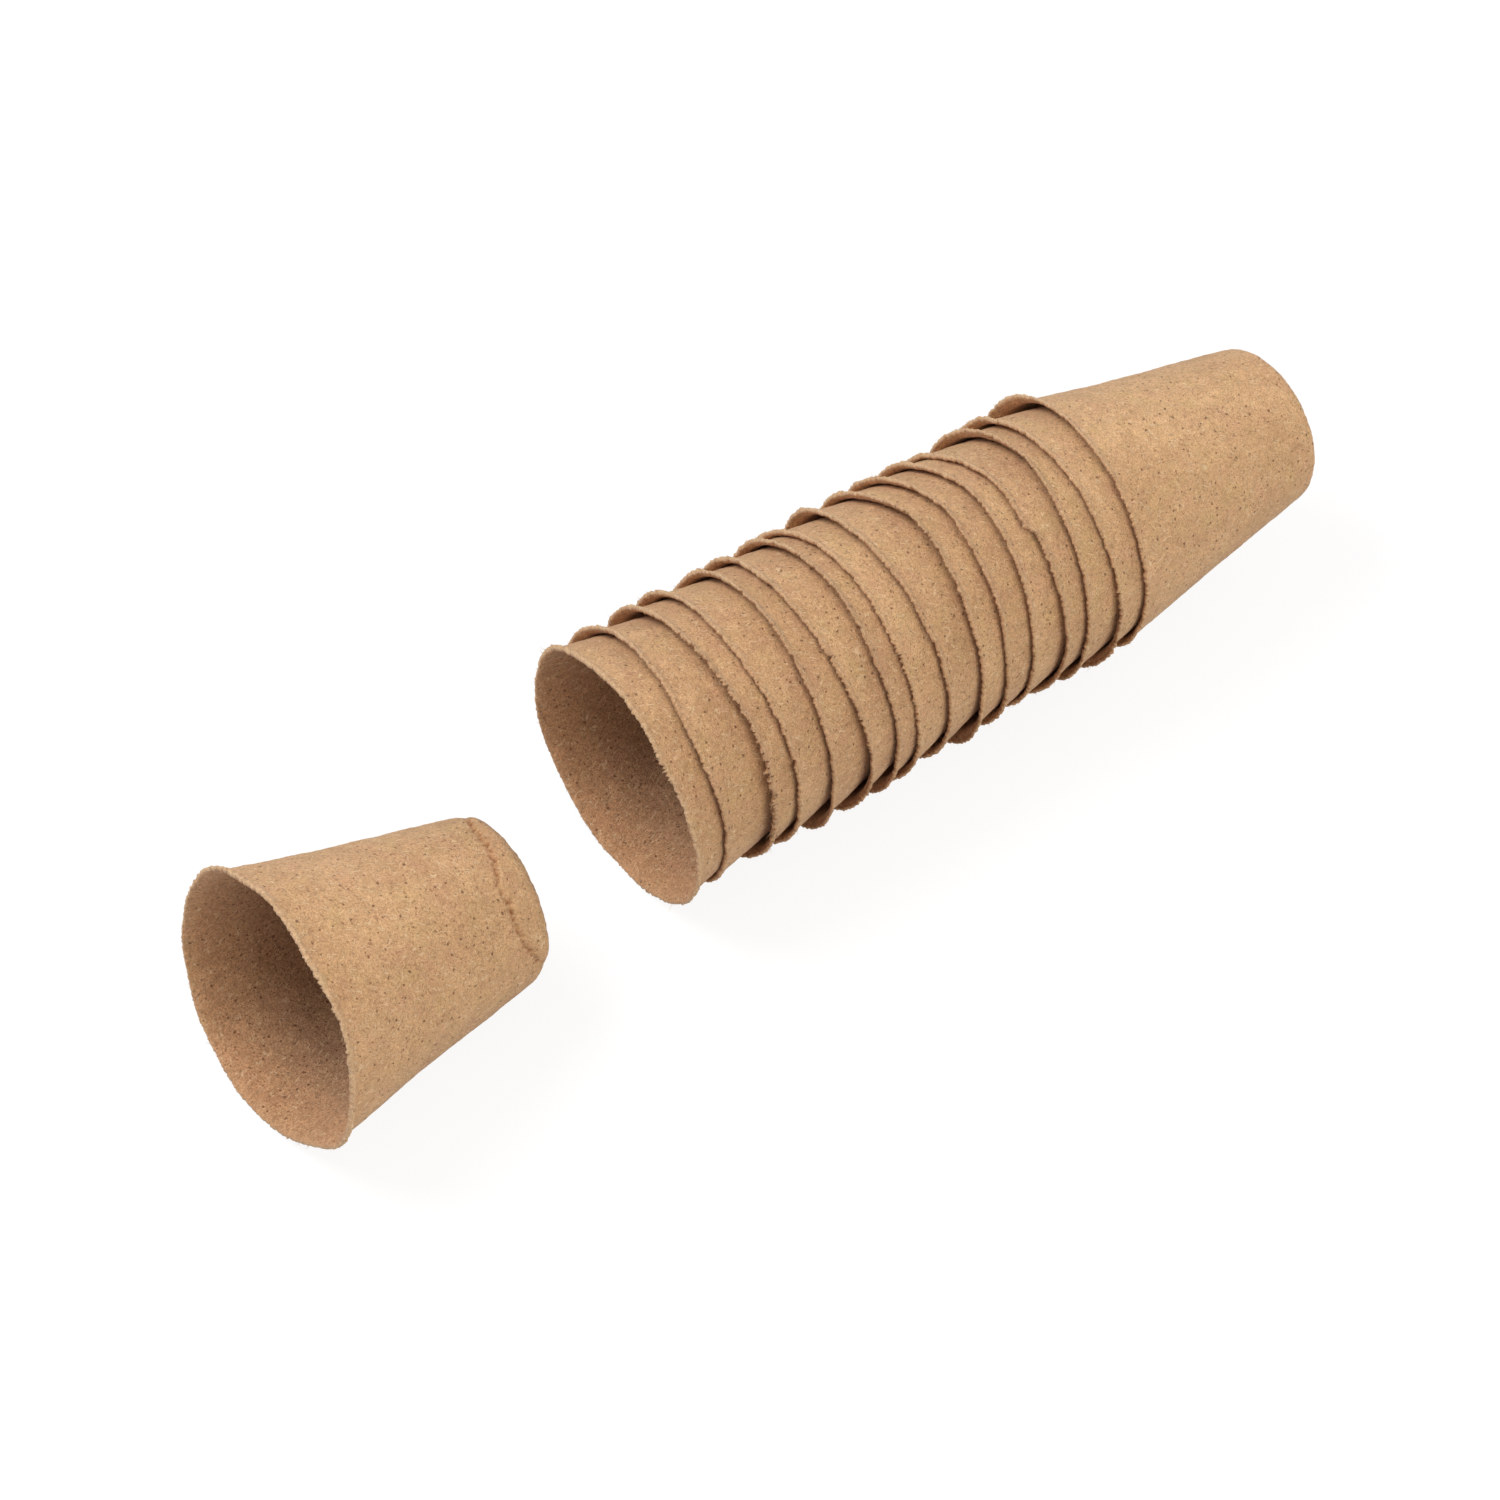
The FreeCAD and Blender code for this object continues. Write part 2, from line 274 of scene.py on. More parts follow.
def read_place(name):
    """Rim centre, axis, top and near directions and height of a pot, from its CAD node."""
    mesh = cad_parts[name].data
    points = np.empty(len(mesh.vertices) * 3)
    mesh.vertices.foreach_get("co", points)
    points = points.reshape(-1, 3) / MM
    normals = np.empty(len(mesh.polygons) * 3)
    mesh.polygons.foreach_get("normal", normals)
    normals = normals.reshape(-1, 3)
    areas = np.empty(len(mesh.polygons))
    mesh.polygons.foreach_get("area", areas)
    # The axis is the mean normal of the flat base, found by looking ever closer to it.
    axis = np.array([1.0, 0.0, 0.0])
    for limit in (0.9, 0.97, 0.999, 0.99999):
        flat = normals @ axis > limit
        axis = (normals[flat] * areas[flat, None]).sum(0)
        axis /= np.linalg.norm(axis)
    depths = points @ axis
    base_ring = points[depths > depths.max() - 0.005]
    base = (base_ring.min(0) + base_ring.max(0)) / 2
    base += axis * (depths.max() - base @ axis)
    height = depths.max() - depths.min()
    top = np.array([0.0, 0.0, 1.0]) - axis * axis[2]
    top /= np.linalg.norm(top)
    return {
        "rim": base - axis * height,
        "axis": axis,
        "top": top,
        "near": np.cross(axis, top),
        "height": height,
    }


def wall_slope(height):
    """How much the wall's radius falls for each millimetre of depth."""
    return (WALL_TOP_RADIUS - BASE_RADIUS) / height


def wall_depths(close_to, close_step, wide_step, end):
    """Depths of the rings of a wall: very close at the lip, close to some depth, then wider."""
    depths = list(LIP_DEPTHS)
    near_lip = depths[-1]
    count = max(1, round((close_to - near_lip) / close_step))
    depths += list(np.linspace(near_lip, close_to, count + 1)[1:])
    count = max(1, round((end - close_to) / wide_step))
    depths += list(np.linspace(close_to, end, count + 1)[1:])
    return depths


def section(height, outer, inner, disc_step):
    """Rings of a pot's section, from the middle of its base outside, over the lip, to the
    middle of its floor inside. The depths of the wall's rings are given for both faces, and
    for the base the distance between its rings."""
    slope = wall_slope(height)
    length = math.hypot(1.0, slope)
    lean = math.atan(slope)
    middle_depth = height - CORNER
    middle = WALL_TOP_RADIUS - slope * middle_depth - CORNER * length

    def face(side, reach, depths):
        """Base, corner and wall of one face, with reach as the corner's radius."""
        rows = []
        for radius in np.linspace(0.0, middle, max(3, round(middle / disc_step)))[1:]:
            rows.append((middle_depth + reach, radius, 1.0, 0.0, 0.0))
        for turn in np.linspace(0.0, math.pi / 2 - lean, 9)[1:]:
            rows.append((
                middle_depth + reach * math.cos(turn), middle + reach * math.sin(turn),
                math.cos(turn), math.sin(turn), 1.0,
            ))
        tangent = rows[-1][DEPTH]
        for depth in [value for value in reversed(depths) if value < tangent - 0.2]:
            radius = WALL_TOP_RADIUS - slope * depth - (CORNER - reach) * length
            rows.append((depth, radius, math.sin(lean), math.cos(lean), 1.0))
        return [(*row, side, max(side, 0)) for row in rows]

    outside = face(1, CORNER, outer)
    inside = face(-1, CORNER - WALL, inner)[::-1]
    outside_edge, inside_edge = outside[-1][RADIUS], inside[0][RADIUS]
    half = (outside_edge - inside_edge) / 2
    middle_radius = (outside_edge + inside_edge) / 2
    edge = []
    for turn in np.linspace(0.0, math.pi, 7)[1:-1]:
        edge.append((
            LIP_DEPTHS[0] - 0.3 * math.sin(turn), middle_radius + half * math.cos(turn),
            math.sin(lean), math.cos(lean), 1.0, 1 if turn < math.pi / 2 else -1,
            (1.0 + math.cos(turn)) / 2,
        ))
    return np.array(outside + edge + inside)


def lip_curl(depths):
    """Share of the lip's curl that each depth takes: all at the rim, none below the lip."""
    return np.clip(1.0 - np.maximum(depths, 0.0) / 3.8, 0.0, 1.0) ** 1.7


def shape_rim(name, random):
    """How one pot's rim departs from the plain pot, as one value a column each: how far it
    is set back, reaches out of round and curls, how much its edge swells, and its fringe."""
    nested = name in NEST
    whole_mouth = name in WHOLE_INSIDE
    back = np.zeros(COLUMNS)
    reach = np.zeros(COLUMNS)
    curl = rounded(*USUAL_CURL)
    if nested:
        far, far_lip, low, low_lip = RIM_OUT[name]
        back += rounded((-150, -105, *RIM_PLACES, 165), (0.0, 0.0, *RIM_BACK[name], 0.0), 7.0)
        reach += rounded(
            (-150, -100, FAR_SIDE, -15, 35, 80, LOW_SIDE, 165),
            (0.0, 0.7 * far, far, 0.5 * far, 0.0, 0.5 * low, low, 0.6 * low), 12.0,
        )
        curl += far_lip * bump_at(FAR_SIDE, 38.0) + low_lip * bump_at(LOW_SIDE, 28.0)
    if name in MORE_BACK:
        back += rounded(*MORE_BACK[name])
    if name in MORE_OUT:
        reach += rounded(*MORE_OUT[name])
    if name in LIP_OFF:
        curl += rounded((-180, -60, *LIP_PLACES, 125), (0.0, 0.0, *LIP_OFF[name], 0.0), 6.0)
    if name == "nest_pot_13":
        back += 0.9 * (np.tanh((ring_sides() - TEAR_SIDE) / 1.6) * bump_at(TEAR_SIDE, 16.0))
    if name == "loose_pot":
        curl += 0.9 * bump_at(FOLD_SIDE, 30.0) - 0.2 * bump_at(30.0, 30.0)

    back += 0.12 * (1.0 if nested else 1.4) * uneven_ring(random, 18.0, 70.0, 0.8)
    back += (0.03 if whole_mouth else 0.06) * uneven_ring(random, 5.0, 18.0, 0.5)
    curl = np.clip(
        curl + 0.1 * uneven_ring(random, 14.0, 70.0, 0.8), LEAST_CURL, MOST_CURL
    )
    bead = 0.36 + 0.45 * bump_at(-40.0, 45.0)
    bead += 0.12 * uneven_ring(random, 1.3, 5.0, 0.0) + 0.1 * uneven_ring(random, 7.0, 40.0, 0.4)

    low_far = bump_at(-130.0, 75.0)
    if name == "nest_pot_01":
        frayed = 0.13 - 0.08 * low_far
    elif nested:
        frayed = np.full(COLUMNS, 0.14)
    else:
        frayed = 0.14 * (1.0 - 0.4 * low_far)
    for side, half_width, strength in FRAYED.get(name, ()):
        frayed += 0.3 * strength * bump_at(side, half_width)
    fringe = frayed * uneven_ring(random, 0.9, 3.2, 0.0)
    fringe += 0.4 * frayed * uneven_ring(random, 3.0, 9.0, 0.3)
    for _ in range(NEST_NOTCHES if nested else LOOSE_NOTCHES):
        side = random.uniform(-180.0, 180.0)
        depth = random.uniform(0.15, 0.5)
        if whole_mouth and not -55.0 < side < 130.0:
            depth *= 0.4
        fringe += depth * bump_at(side, random.uniform(0.45, 1.4))
    return back, reach, curl, bead, fringe


def crease_depth(random):
    """Depth of the loose pot's crease, which arches over its near side close to the base."""
    line = rounded(
        (-60, -38, -25, -12, 0, 10, 16, 23, 32, 43, 54, 62, 70, 76, 84, 93, 102, 120),
        (79, 77, 74.3, 72, 71.2, 70.2, 69.4, 67.9, 65.8,
         66.6, 65.9, 67, 68.3, 69.8, 71.8, 74.8, 78, 79), 2.0,
    )
    return line + 0.2 * uneven_ring(random, 2.0, 8.0, 0.3)


def crush_base(rings, out, depths, random):
    """The loose pot's base corner is pushed in on its near side. The wall folds there in a
    rough crease, and beyond it stands up as a smooth band. Changes out and depths, and
    returns the painted shade along the crease at each point."""
    line = crease_depth(random)
    held = soft_step(ring_sides(), -44.0, -26.0)
    held = held * (1.0 - soft_step(ring_sides(), 86.0, 98.0))
    near = np.cos(ring_angles() - math.radians(42.0))[None, :]
    pushed = soft_step(rings[:, DEPTH], 52.0, 74.0)[:, None]
    depths -= 0.75 * pushed * (1.0 + near * (rings[:, RADIUS] / 23.0)[:, None])
    beyond = depths - line[None, :]
    outside = (rings[:, FACE] > 0)[:, None]
    wall_share = soft_step(rings[:, RADIUS], 19.0, 23.0)[:, None]
    rough = 1.0 + 0.4 * uneven_wall(random, rings[:, DEPTH], 1.2, 4.0)
    band = 0.75 * soft_step(beyond, -0.1, 1.3) * (1.0 - 0.5 * soft_step(beyond, 4.0, 12.0))
    groove = 0.36 * np.exp(-((beyond / 0.75) ** 2)) * rough
    out += held * wall_share * (band - np.where(outside, groove, 0.0))
    # Painted shade along the crease, darker where it is rough.
    painted_shade = 0.8 * np.exp(-(((beyond - 0.1) / 0.55) ** 2)) * np.clip(rough, 0.3, 1.5)
    painted_shade += 0.35 * np.exp(-((beyond / 1.5) ** 2)) * np.clip(2.0 * rough - 1.6, 0.0, 1.5)
    return np.where(outside, painted_shade * held * wall_share, 0.0)


def sheet_coordinates(rings, slope):
    """The wall laid out flat. Its outside is cut along the pot's lowest line and its inside
    along the highest, and the third value is nothing at the cut and at the lip."""
    length = math.hypot(1.0, slope)
    apex = WALL_TOP_RADIUS / slope
    sides = ring_angles()
    outside = (rings[:, FACE] > 0)[:, None]
    from_cut = np.where(outside, sides, (sides + 2 * math.pi) % (2 * math.pi) - math.pi)
    from_apex = ((apex - rings[:, DEPTH]) * length)[:, None]
    angle = from_cut * slope / length
    on_wall = (rings[:, ON_WALL] > 0.5)[:, None]
    radius = rings[:, RADIUS][:, None]
    first = np.where(on_wall, from_apex * np.sin(angle), radius * np.sin(sides) + BASE_SHIFT)
    second = np.where(on_wall, from_apex * np.cos(angle), radius * np.cos(sides))
    whole = np.ones_like(first)
    whole[:, [0, -1]] = np.where(outside, 0.0, 1.0)
    middle = COLUMNS // 2
    whole[:, [middle - 1, middle]] = np.where(outside, 1.0, 0.0)
    whole[(rings[:, DEPTH] < 0.3) & (rings[:, ON_WALL] > 0.5)] = 0.0
    turn = np.nonzero(np.diff(rings[:, ON_WALL]))[0]
    whole[np.concatenate([turn, turn + 1])] = 0.0
    first = first + np.where(outside, 0.0, INSIDE_SHIFT)
    return np.stack([first, second, whole], -1)


def roughen(out, rings, random, free):
    """Adds the pulp's own unevenness to a pot, more where nothing lies against its wall."""
    depth = rings[:, DEPTH]
    face = rings[:, FACE][:, None]
    on_wall = soft_step(rings[:, RADIUS], 10.0, 22.0)[:, None]
    out += on_wall * (0.06 if free else 0.04) * uneven_wall(random, depth, 9.0, 30.0)
    out += on_wall * 0.035 * uneven_wall(random, depth, 2.6, 7.0)
    grain = uneven_wall(random, depth + 50.0 * rings[:, FACE], 1.6, 3.0)
    out += on_wall * 0.02 * grain * face
    near_edge = np.exp(-((depth - 0.5) / 1.6) ** 2)[:, None]
    out += near_edge * 0.1 * uneven_wall(random, depth, 1.2, 3.0)
    out -= 0.06 * np.exp(-np.maximum(depth, 0.0) / 1.2)[:, None] * face


def rim_shade(rings, random, whole_inside):
    """Painted shade at the rim's cut edge and inner face, as in the gap under a lip: weak where a
    mouth shows, weaker on the far shoulder.
    """
    depth = np.maximum(rings[:, DEPTH], 0.0)
    cut = np.exp(-((depth / 0.45) ** 2)) * (1.0 - 0.6 * rings[:, OUTER])
    shown = 0.3 if whole_inside else 1.7 - 1.2 * bump_at(-50.0, 40.0)
    broken = np.clip(0.8 + 0.35 * uneven_ring(random, 0.9, 4.0, 0.0), 0.1, 1.4)
    return cut[:, None] * shown * broken


def pale_rim_and_highlight(rings, random, whole_inside):
    """How pale the rim is: worn fuzz, most outside, and on the far shoulder partly a painted
    highlight.
    """
    width = 1.0 + 0.3 * uneven_ring(random, 2.0, 12.0, 0.3)
    depth = np.maximum(rings[:, DEPTH], 0.0)[:, None]
    fuzz_and_highlight = np.exp(-((depth / np.clip(width, 0.5, 1.6)) ** 1.5))
    fuzz_and_highlight = fuzz_and_highlight * np.where(rings[:, OUTER] > 0.3, 1.0, 0.3)[:, None]
    return fuzz_and_highlight * (0.75 if whole_inside else 0.25 + 0.7 * bump_at(-35.0, 40.0))


def with_poles(grid, start, end):
    """The values of a grid of rings as rows, with those of the two middle points after them."""
    width = grid.shape[-1] if grid.ndim == 3 else 1
    ends = [np.reshape(value, (1, width)) for value in (start, end)]
    return np.concatenate([grid.reshape(-1, width), *ends])


def closed_faces(rows):
    """Four-sided faces between rings, and the three-sided ones round the two middle points."""
    index = np.arange(rows * COLUMNS).reshape(rows, COLUMNS)
    following = np.roll(index, -1, axis=1)
    quads = np.stack([index[:-1], following[:-1], following[1:], index[1:]], -1)
    first, last = rows * COLUMNS, rows * COLUMNS + 1
    start_fan = np.stack([following[0], index[0], np.full(COLUMNS, first)], -1)
    end_fan = np.stack([index[-1], following[-1], np.full(COLUMNS, last)], -1)
    return quads.reshape(-1, 4), np.concatenate([start_fan, end_fan])


def pot_arrays(name, seed):
    """Points, faces and surface attributes of one pot."""
    random = np.random.default_rng(seed)
    place = read_place(name)
    height = place["height"]
    whole_outside = name in WHOLE_OUTSIDE
    whole_inside = name in WHOLE_INSIDE
    free = whole_outside or whole_inside
    if name == "loose_pot":
        outer = wall_depths(60.0, 0.8, 0.42, height - CORNER)
    elif whole_outside:
        outer = wall_depths(70.0, 0.8, 0.8, height - CORNER)
    else:
        outer = wall_depths(18.0, 0.9, 3.4, height - CORNER)
    inner = wall_depths(70.0 if whole_inside else 6.0, 0.9, 3.4, height - CORNER)
    rings = section(height, outer, inner, 1.5 if free else 3.5)
    ring_depth, outer_share = rings[:, DEPTH], rings[:, OUTER]
    back, reach, curl, bead, fringe = shape_rim(name, random)

    depths = ring_depth[:, None] + np.zeros(COLUMNS)
    out = np.zeros_like(depths)
    depths += (1.0 - soft_step(ring_depth, 0.0, 15.0))[:, None] * back
    out += (1.0 - soft_step(ring_depth, 0.0, 38.0))[:, None] * reach
    out += lip_curl(ring_depth)[:, None] * curl
    swollen = outer_share * np.exp(-((ring_depth - 0.7) / 0.95) ** 2)
    out += swollen[:, None] * bead
    if name == "loose_pot":
        folded = 0.75 * np.exp(-((ring_depth - 1.1) / 1.1) ** 2)
        folded -= 0.3 * np.exp(-((ring_depth - 2.9) / 0.6) ** 2)
        out += (outer_share * folded)[:, None] * bump_at(FOLD_SIDE, 34.0)
    depths += np.exp(-np.maximum(ring_depth, 0.0) / 0.6)[:, None] * fringe
    roughen(out, rings, random, free)
    # Painted shade at the rim and, on the loose pot, along its crease.
    painted_shade = rim_shade(rings, random, whole_inside)
    if name == "loose_pot":
        painted_shade = np.maximum(painted_shade, crush_base(rings, out, depths, random))
    # Pale worn fuzz on the rim, on the far shoulder partly a painted highlight.
    fuzz_and_highlight = pale_rim_and_highlight(rings, random, whole_inside)
    depths += out * rings[:, OUT_DEPTH][:, None]
    radii = rings[:, RADIUS][:, None] + out * rings[:, OUT_RADIUS][:, None]

    sides = ring_angles()
    up, aside = np.cos(sides), np.sin(sides)
    across = up[None, :, None] * place["top"] + aside[None, :, None] * place["near"]
    points = place["rim"] + depths[..., None] * place["axis"] + radii[..., None] * across
    points[..., 2] = np.maximum(points[..., 2], LOWEST)
    start, end = depths[0].mean(), depths[-1].mean()
    # How much painted shade the inner face gets: part of it at the lip, all of it deep inside.
    near_lip = 0.42 if whole_inside else 0.5
    depth_shade = near_lip + (1.0 - near_lip) * soft_step(ring_depth, 0.0, 40.0)
    inside = np.where(rings[:, FACE] > 0, 0.0, depth_shade)[:, None] * np.ones(COLUMNS)
    pulp = np.stack([depths, radii * up, radii * aside], -1)
    sheet = sheet_coordinates(rings, wall_slope(height))
    shift = POT_SHIFT * (seed % SHIFTS)
    first, last = (place["rim"] + place["axis"] * depth for depth in (start, end))
    quads, fans = closed_faces(len(rings))
    return {
        "points": with_poles(points, first, last),
        "quads": quads,
        "fans": fans,
        "pulp": with_poles(pulp, (start, 0, 0), (end, 0, 0)) + shift,
        "sheet": with_poles(sheet, (0, 0, 0), (0, 0, 0)) + shift * (1.0, 1.0, 0.0),
        "painted_shade": with_poles(painted_shade, 0.0, 0.0)[:, 0],
        "fuzz_and_highlight": with_poles(fuzz_and_highlight, 0.0, 0.0)[:, 0],
        "inside": with_poles(inside, 0.0, 1.0)[:, 0],
        "place": place,
        "rings": rings,
        "random": random,
    }


def hair_arrays(pot, name):
    """Loose fibres that stand off a pot's rim, as thin tapered tubes: their points, faces
    and how pale each is. More and longer ones stand where the rim is frayed."""
    random = pot["random"]
    place = pot["place"]
    rings = pot["rings"]
    steps, around = 5, 4
    usual = NEST_HAIRS if name in NEST else LOOSE_HAIRS
    columns = random.integers(0, COLUMNS, usual)
    for side, half_width, strength in FRAYED.get(name, ()):
        extra = random.normal(0.0, half_width * 0.7, int(FRAYED_HAIRS * strength))
        chosen = (side + extra + 180.0) / 360.0 * COLUMNS
        columns = np.concatenate([columns, np.round(chosen).astype(int) % COLUMNS])
    count = len(columns)
    candidates = np.nonzero((rings[:, DEPTH] < 0.7) & (rings[:, FACE] > 0))[0]
    rows = random.choice(candidates, count)
    roots = pot["points"][rows * COLUMNS + columns]
    sides = ring_angles()[columns]
    outward = np.cos(sides)[:, None] * place["top"] + np.sin(sides)[:, None] * place["near"]
    along = np.cross(place["axis"], outward)
    heading = (
        -place["axis"] * random.uniform(0.0, 1.0, count)[:, None]
        + outward * random.uniform(0.15, 0.8, count)[:, None]
        + along * random.uniform(-1.1, 1.1, count)[:, None]
    )
    heading /= np.linalg.norm(heading, axis=1)[:, None]
    lengths = 0.25 + random.exponential(0.35, count).clip(0.0, 1.8)
    lengths[usual:] *= 1.7
    bend = random.normal(0.0, 0.35, (count, 3))
    thickness = random.uniform(0.035, 0.08, count)

    share = np.linspace(0.0, 1.0, steps)
    lines = (
        roots[:, None, :]
        + heading[:, None, :] * (lengths[:, None] * share)[..., None]
        + bend[:, None, :] * (lengths[:, None] * share**2)[..., None]
    )
    lines[:, 0, :] -= outward * 0.08
    side_a = np.cross(heading, outward + 0.1)
    side_a /= np.linalg.norm(side_a, axis=1)[:, None]
    side_b = np.cross(heading, side_a)
    turn = (np.arange(around) * 2 * math.pi / around)[:, None]
    ring = np.cos(turn) * side_a[:, None, :] + np.sin(turn) * side_b[:, None, :]
    width = thickness[:, None] * (1.0 - 0.75 * share)
    points = lines[:, :, None, :] + ring[:, None, :, :] * width[:, :, None, None]
    points[..., 2] = np.clip(points[..., 2], LOWEST, HIGHEST)

    index = np.arange(count * steps * around).reshape(count, steps, around)
    following = np.roll(index, -1, axis=2)
    quads = np.stack([index[:, :-1], following[:, :-1], following[:, 1:], index[:, 1:]], -1)
    caps = [index[:, 0, ::-1].reshape(-1, 4), index[:, -1, :].reshape(-1, 4)]
    pale = np.repeat(random.uniform(0.35, 1.0, count), steps * around)
    return points.reshape(-1, 3), np.concatenate([quads.reshape(-1, 4), *caps]), pale


def add_faces(mesh, quads, fans):
    """Smooth faces of four and of three sides."""
    loops = np.concatenate([quads.ravel(), fans.ravel()]).astype(np.int32)
    starts = np.concatenate([
        np.arange(len(quads)) * 4,
        len(quads) * 4 + np.arange(len(fans)) * 3,
    ]).astype(np.int32)
    mesh.loops.add(len(loops))
    mesh.loops.foreach_set("vertex_index", loops)
    mesh.polygons.add(len(starts))
    mesh.polygons.foreach_set("loop_start", starts)
    mesh.polygons.foreach_set("use_smooth", np.ones(len(starts), bool))


def store(mesh, name, values):
    """Keeps one number or one vector a point, for the material to read."""
    kind, key = ("FLOAT_VECTOR", "vector") if values.ndim == 2 else ("FLOAT", "value")
    attribute = mesh.attributes.new(name, kind, "POINT")
    attribute.data.foreach_set(key, np.ascontiguousarray(values, np.float32).ravel())


def make_pot(name, seed, material):
    """The finished sheet of one pot, riding on the pot's body."""
    pot = pot_arrays(name, seed)
    hairs, hair_quads, pale = hair_arrays(pot, name)
    points = np.concatenate([pot["points"], hairs]) * MM
    mesh = bpy.data.meshes.new(name + "_pulp")
    mesh.vertices.add(len(points))
    mesh.vertices.foreach_set("co", points.astype(np.float32).ravel())
    quads = np.concatenate([pot["quads"], hair_quads + len(pot["points"])])
    add_faces(mesh, quads, pot["fans"])
    mesh.update(calc_edges=True)
    on_hairs = {
        "pulp": hairs + HAIR_SHIFT,
        "sheet": hairs * (1.0, 1.0, 0.0),
        "painted_shade": np.zeros(len(hairs)),
        "fuzz_and_highlight": pale,
        "inside": np.zeros(len(hairs)),
    }
    for key, values in on_hairs.items():
        store(mesh, key, np.concatenate([pot[key], values]))
    store(mesh, "tone", np.full(len(points), TONES[name]))
    mesh.materials.append(material)
    piece = bpy.data.objects.new(name + "_pulp", mesh)
    bpy.context.scene.collection.objects.link(piece)
    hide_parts(name)
    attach(piece, name)
    return piece


class Nodes:
    """Short calls that add and join the nodes of one material or of the surroundings."""

    def __init__(self, owner):
        owner.use_nodes = True
        self.tree = owner.node_tree
        self.tree.nodes.clear()

    def add(self, kind, **settings):
        node = self.tree.nodes.new(kind)
        for key, value in settings.items():
            setattr(node, key, value)
        return node

    def join(self, source, target):
        self.tree.links.new(source, target)

    def fill(self, socket, value):
        """Joins a socket, or sets it where the value is a number or a colour."""
        if isinstance(value, (int, float)):
            socket.default_value = value
        elif isinstance(value, tuple):
            socket.default_value = (*value, 1.0)
        else:
            self.join(value, socket)

    def attribute(self, name, output="Fac"):
        return self.add("ShaderNodeAttribute", attribute_name=name).outputs[output]

    def noise(self, vector, scale, detail, rough, distortion=0.0, flat=False, output="Fac"):
        node = self.add("ShaderNodeTexNoise", noise_dimensions="2D" if flat else "3D")
        self.join(vector, node.inputs["Vector"])
        node.inputs["Scale"].default_value = scale
        node.inputs["Detail"].default_value = detail
        node.inputs["Roughness"].default_value = rough
        node.inputs["Distortion"].default_value = distortion
        return node.outputs[output]

    def range(self, value, low, high, out_low=0.0, out_high=1.0, smooth=False):
        kind = "SMOOTHSTEP" if smooth else "LINEAR"
        node = self.add("ShaderNodeMapRange", interpolation_type=kind)
        self.join(value, node.inputs["Value"])
        node.inputs["From Min"].default_value = low
        node.inputs["From Max"].default_value = high
        node.inputs["To Min"].default_value = out_low
        node.inputs["To Max"].default_value = out_high
        return node.outputs["Result"]

    def math(self, operation, *values):
        node = self.add("ShaderNodeMath", operation=operation)
        for socket, value in zip(node.inputs, values):
            self.fill(socket, value)
        return node.outputs[0]

    def times(self, a, b):
        return self.math("MULTIPLY", a, b)

    def mix(self, factor, a, b):
        node = self.add("ShaderNodeMix", data_type="RGBA", blend_type="MIX")
        for place, value in ((0, factor), (6, a), (7, b)):
            self.fill(node.inputs[place], value)
        return node.outputs[2]

    def graded(self, value, green, blue):
        """One value as a factor for red, and raised to a power for green and for blue."""
        node = self.add("ShaderNodeCombineXYZ")
        self.join(value, node.inputs[0])
        self.join(self.math("POWER", value, green), node.inputs[1])
        self.join(self.math("POWER", value, blue), node.inputs[2])
        return node.outputs[0]

    def scaled(self, colour, factors):
        node = self.add("ShaderNodeVectorMath", operation="MULTIPLY")
        self.join(colour, node.inputs[0])
        self.join(factors, node.inputs[1])
        return node.outputs[0]

    def jittered(self, vector, shift, amount):
        """Coordinates moved a little by a colour, so that spots on them lose their round form."""
        scale = self.add("ShaderNodeVectorMath", operation="SCALE")
        self.join(shift, scale.inputs[0])
        scale.inputs["Scale"].default_value = amount
        node = self.add("ShaderNodeVectorMath", operation="ADD")
        self.join(vector, node.inputs[0])
        self.join(scale.outputs[0], node.inputs[1])
        return node.outputs[0]

    def stretched(self, vector, turn, along, across):
        """Coordinates in which a spot is a fibre that lies at some angle on the sheet."""
        node = self.add("ShaderNodeMapping", vector_type="POINT")
        self.join(vector, node.inputs["Vector"])
        node.inputs["Rotation"].default_value = (0.0, 0.0, math.radians(turn))
        second = self.add("ShaderNodeMapping", vector_type="POINT")
        self.join(node.outputs["Vector"], second.inputs["Vector"])
        second.inputs["Scale"].default_value = (1.0 / along, 1.0 / across, 0.0)
        return second.outputs["Vector"]

    def spots(self, vector, scale, share, small, large):
        """Spots on a share of the cells, one in their middle and nothing at their edge."""
        cells = self.add("ShaderNodeTexVoronoi", feature="F1", voronoi_dimensions="2D")
        self.join(vector, cells.inputs["Vector"])
        cells.inputs["Scale"].default_value = scale
        random = self.add("ShaderNodeSeparateColor")
        self.join(cells.outputs["Color"], random.inputs[0])
        on = self.math("LESS_THAN", random.outputs[0], share)
        reach = self.range(random.outputs[1], 0.0, 1.0, small, large)
        soft = self.math("DIVIDE", cells.outputs["Distance"], reach)
        return self.times(self.range(soft, 0.55, 1.0, 1.0, 0.0, smooth=True), on)

    def strands(self, sheet, place, scale, width, shown):
        """Thin curved fibres: lines where a flat noise passes its middle, broken up by another."""
        line = self.math("SUBTRACT", self.noise(sheet, scale, 1.0, 0.5, 0.7, flat=True), 0.5)
        line = self.range(self.math("ABSOLUTE", line), 0.0, width, 1.0, 0.0, smooth=True)
        shifted = self.add("ShaderNodeMapping", vector_type="POINT")
        self.join(sheet, shifted.inputs["Vector"])
        shifted.inputs["Location"].default_value = (place, 2.0 * place, 0.0)
        breaks = self.noise(shifted.outputs["Vector"], 0.8 * scale, 1.0, 0.5, flat=True)
        return self.times(line, self.range(breaks, shown, shown + 0.07, smooth=True))

    def finish(self, kind, surface):
        output = self.add(kind)
        self.join(surface, output.inputs["Surface"])


